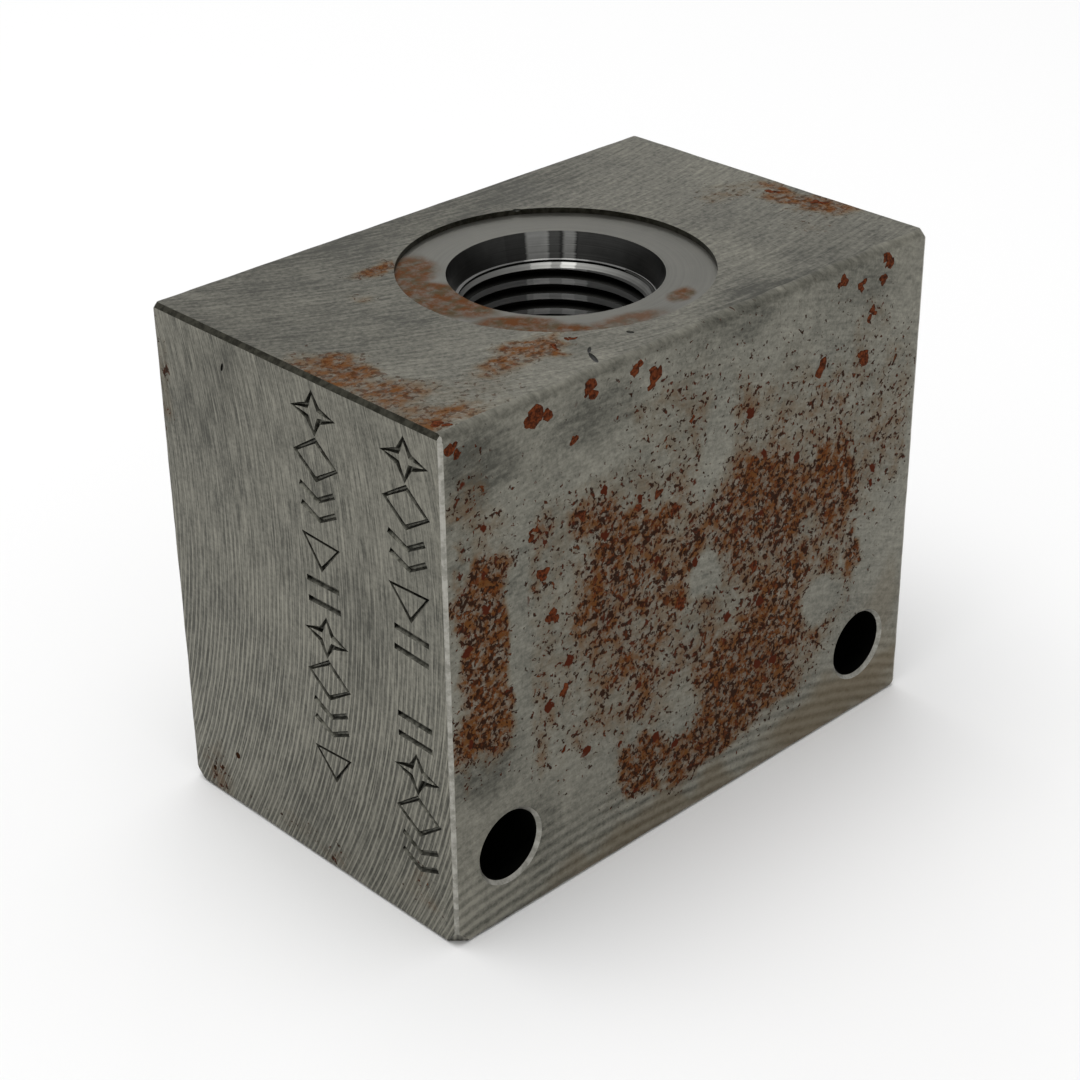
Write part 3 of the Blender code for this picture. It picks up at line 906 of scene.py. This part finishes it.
scabs = dict(
    lumps=4, spread=0.42, height=0.085,
    front=[(-21.3, 50.2, 2.0), (-19.4, 50.0, 1.3), (-14.5, 50.5, 1.5), (-8.7, 50.5, 1.3), (-6.6, 49.0, 1.6),
           (-16.4, 46.4, 0.9), (-8.3, 36.9, 1.0), (-5.8, 37.2, 0.9), (-3.8, 34.8, 1.0), (18.9, 50.6, 1.3),
           (16.1, 42.5, 1.6), (22.8, 41.3, 1.5), (24.9, 48.9, 1.2), (25.9, 50.5, 1.3), (22.2, 48.9, 1.0),
           (23.9, 45.6, 1.2), (-19.2, 30.0, 1.3), (-18.0, 21.6, 1.2), (-2.5, 24.3, 1.4), (-20.4, 34.5, 1.2),
           (-21.3, 39.1, 1.1), (-15.7, 38.7, 0.9), (7.7, 24.2, 1.2), (-30.4, 50.3, 1.1), (-1.6, 43.0, 0.7)],
    top=[(-29.9, -17.9, 1.2), (29.2, -2.4, 1.3), (29.8, -7.5, 1.1), (-12.8, -13.6, 1.0), (-10.6, -13.4, 0.8)],
)


def scabTree(material):
    tree, given = geometryTree("rust scabs", {
        "Geometry": None, "Lumps": 4, "Spread": 0.4, "Height": 0.08 * mm, "Seed": 0,
    })
    copies = put(tree, "GeometryNodeDuplicateElements", {
        "Geometry": given["Geometry"], "Amount": given["Lumps"],
    }, domain="POINT")
    size = put(tree, "GeometryNodeInputNamedAttribute", {"Name": "size"}, data_type="FLOAT").outputs[0]
    way = put(tree, "FunctionNodeRandomValue", {
        0: (-1, -1, 0), 1: (1, 1, 0), "Seed": given["Seed"],
    }, data_type="FLOAT_VECTOR").outputs[0]
    push = vec(tree, "MULTIPLY", way, times(tree, size, given["Spread"]))
    moved = put(tree, "GeometryNodeSetPosition", {"Geometry": copies.outputs[0], "Offset": push})
    lump = put(tree, "GeometryNodeMeshIcoSphere", {"Radius": 0.5, "Subdivisions": 2})
    wide = times(tree, size, chance(tree, 0.4, 0.85, calc(tree, "ADD", given["Seed"], 5)))
    long = times(tree, size, chance(tree, 0.45, 1.0, calc(tree, "ADD", given["Seed"], 9)))
    spin = chance(tree, 0.0, math.tau, calc(tree, "ADD", given["Seed"], 13))
    placed = put(tree, "GeometryNodeInstanceOnPoints", {
        "Points": moved.outputs[0], "Instance": lump.outputs[0], "Rotation": joinXYZ(tree, 0.0, 0.0, spin),
        "Scale": joinXYZ(tree, wide, long, given["Height"]),
    })
    real = put(tree, "GeometryNodeRealizeInstances", {"Geometry": placed.outputs[0]})
    crumble = put(tree, "ShaderNodeTexNoise", {"Scale": 1.6 / mm, "Detail": 3.0}).outputs["Color"]
    crumble = vec(tree, "MULTIPLY", vec(tree, "SUBTRACT", crumble, (0.5, 0.5, 0.5)), (1.1 * mm, 1.1 * mm, 0))
    ragged = put(tree, "GeometryNodeSetPosition", {"Geometry": real.outputs[0], "Offset": crumble})
    return finishTree(tree, ragged.outputs[0], material)


def scabPoints(spots):
    bm = bmesh.new()
    size = bm.verts.layers.float.new("size")
    for along, across, width in spots:
        bm.verts.new((along * mm, across * mm, 0))[size] = width * mm
    return meshFrom("scab points", bm)


def makeScabs(low, high, finish):
    tree = scabTree(finish)
    values = {"Lumps": scabs["lumps"], "Spread": scabs["spread"], "Height": scabs["height"] * mm}
    front = grow("rust_scabs", tree, dict(values, Seed=3), scabPoints(scabs["front"]))
    front.data.transform(Matrix(((1, 0, 0, 0), (0, 0, -1, low.y), (0, 1, 0, 0), (0, 0, 0, 1))))
    top = grow("rust_scabs_top", tree, dict(values, Seed=8), scabPoints(scabs["top"]))
    top.data.transform(Matrix.Translation((0, 0, high.z)))
    bm = bmesh.new()
    bm.from_mesh(front.data)
    bm.from_mesh(top.data)
    bmesh.ops.recalc_face_normals(bm, faces=bm.faces)
    bm.to_mesh(front.data)
    bm.free()
    bpy.data.objects.remove(top)
    front.data.shade_smooth()
    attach(front, "root")


def finishFaces(body, finishes):
    outward = {"left end": (-1, 0, 0), "right end": (1, 0, 0), "front": (0, -1, 0), "back": (0, 1, 0),
               "top": (0, 0, 1), "bottom": (0, 0, -1)}
    slots = {}
    for name in outward:
        if name not in body.data.materials:
            body.data.materials.append(finishes[name])
        slots[name] = body.data.materials.find(name)
    for face in body.data.polygons:
        if face.material_index not in slots.values():
            continue
        for name, direction in outward.items():
            if face.normal.dot(Vector(direction)) > 0.9999:
                face.material_index = slots[name]


# grid steps in mm, how far the edges of each kind of patch wander, and how unevenly rust takes
stains = dict(
    grid=1.5, frontGrid=0.8, coverWander=2.2, cleanWander=1.0, grimeWander=2.0, tanWander=2.5,
    uneven=((0.16, 0.4), (0.45, 0.5)),
)


def drift(along, across, pace, seed):
    # turned a little, so that the noise never lines up with the block
    place = Vector((along * 0.8 + across * 0.6, across * 0.8 - along * 0.6, 0)) * pace
    place.z = seed + 0.37
    return noise.noise_vector(place, noise_basis="PERLIN_NEW")


def strengthAt(patches, along, across, warp, seed):
    shove = drift(along, across, 0.22, seed) + drift(along, across, 0.6, seed) * 0.5
    along += shove.x * warp
    across += shove.y * warp
    most = 0.0
    for centreAlong, centreAcross, halfLength, halfWidth, turn, strength in patches:
        lean = math.radians(turn)
        x = along - centreAlong
        y = across - centreAcross
        reach = math.hypot((x * math.cos(lean) + y * math.sin(lean)) / halfLength,
                           (y * math.cos(lean) - x * math.sin(lean)) / halfWidth)
        fade = min(max((1.0 - reach) / 0.6, 0.0), 1.0)
        most = max(most, strength * fade * fade * (3 - 2 * fade))
    return most


def gridFace(bm, slot, look, step):
    geometry = set()
    for face in bm.faces:
        if face.material_index == slot:
            geometry.update([face], face.edges, face.verts)
    points = [element.co for element in geometry if isinstance(element, bmesh.types.BMVert)]
    geometry = list(geometry)
    for axis in (look["along"], look["across"]):
        low = min(point[axis] for point in points)
        high = max(point[axis] for point in points)
        normal = Vector([float(i == axis) for i in range(3)])
        count = int((high - low) / step)
        for number in range(1, count):
            place = normal * (low + (high - low) * number / count)
            cut = bmesh.ops.bisect_plane(bm, geom=geometry, dist=1e-7, plane_co=place, plane_no=normal)
            geometry = cut["geom"]


def stainAt(look, along, across):
    seed = look["seed"]
    cover = strengthAt(look["patches"], along, across, stains["coverWander"], seed)
    cover *= 1 - strengthAt(look["clean"], along, across, stains["cleanWander"], seed + 5)
    for pace, swing in stains["uneven"]:
        cover *= 1.0 + swing * drift(along, across, pace, seed + 9).x
    grime = strengthAt(look["grime"], along, across, stains["grimeWander"], seed + 13)
    tan = strengthAt(look["tan"], along, across, stains["tanWander"], seed + 17)
    return cover, grime, tan, 1.0


def paintStains(body):
    bm = bmesh.new()
    bm.from_mesh(body.data)
    layer = bm.loops.layers.float_color.new("stains")
    for name, look in faceLooks.items():
        slot = body.data.materials.find(name)
        gridFace(bm, slot, look, stains["frontGrid" if name == "front" else "grid"] * mm)
        known = {}
        for loop in [loop for face in bm.faces if face.material_index == slot for loop in face.loops]:
            place = loop.vert.co
            if loop.vert not in known:
                known[loop.vert] = stainAt(look, place[look["along"]] / mm, place[look["across"]] / mm)
            loop[layer] = known[loop.vert]
    bm.to_mesh(body.data)
    bm.free()


# studio

studio = dict(
    cameraPlace=(-143.54 * mm, -147.94 * mm, 136.87 * mm),
    cameraTurn=(60.97, 0.61, -44.10),   # degrees
    lens=78.77, sensor=36, floorSize=4.0, worldLight=0.6,
    # place and what it aims at, size in metres, watts
    lights={
        "overhead": ((-0.2, 0.1, 1.4), (0, 0, 0), 1.2, 13),
        "strip behind left": ((0.15, 0.8, 0.55), (0, 0, 0.05), 0.12, 0.12),
        "strip behind right": ((0.55, 0.6, 0.5), (0, 0, 0.05), 0.1, 0.1),
    },
)


def makeCamera():
    data = bpy.data.cameras.new("camera")
    data.lens = studio["lens"]
    data.sensor_width = studio["sensor"]
    data.clip_start = 0.01
    camera = linkObject("camera", data)
    camera.location = studio["cameraPlace"]
    camera.rotation_euler = [math.radians(turn) for turn in studio["cameraTurn"]]
    bpy.context.scene.camera = camera


def makeFloor():
    bm = bmesh.new()
    bmesh.ops.create_grid(bm, x_segments=8, y_segments=8, size=studio["floorSize"] / 2)
    material = bpy.data.materials.new("pale floor")
    material.use_nodes = True
    shader = material.node_tree.nodes["Principled BSDF"]
    shader.inputs["Base Color"].default_value = (0.9, 0.9, 0.9, 1)
    shader.inputs["Roughness"].default_value = 0.8
    objectFrom("floor", bm, [material])


def makeLights():
    world = bpy.data.worlds.new("studio")
    world.use_nodes = True
    background = world.node_tree.nodes["Background"]
    background.inputs["Color"].default_value = (1, 1, 1, 1)
    background.inputs["Strength"].default_value = studio["worldLight"]
    bpy.context.scene.world = world
    for name, (place, aim, size, power) in studio["lights"].items():
        data = bpy.data.lights.new(name, "AREA")
        data.size = size
        data.energy = power
        light = linkObject(name, data)
        light.location = place
        light.rotation_euler = (Vector(aim) - Vector(place)).to_track_quat("-Z", "Y").to_euler()
    bpy.context.scene.view_settings.view_transform = "Standard"


makeCamera()
makeFloor()
makeLights()
print("studio ready")
body = makeBody()
print("body", len(body.data.polygons), "faces")
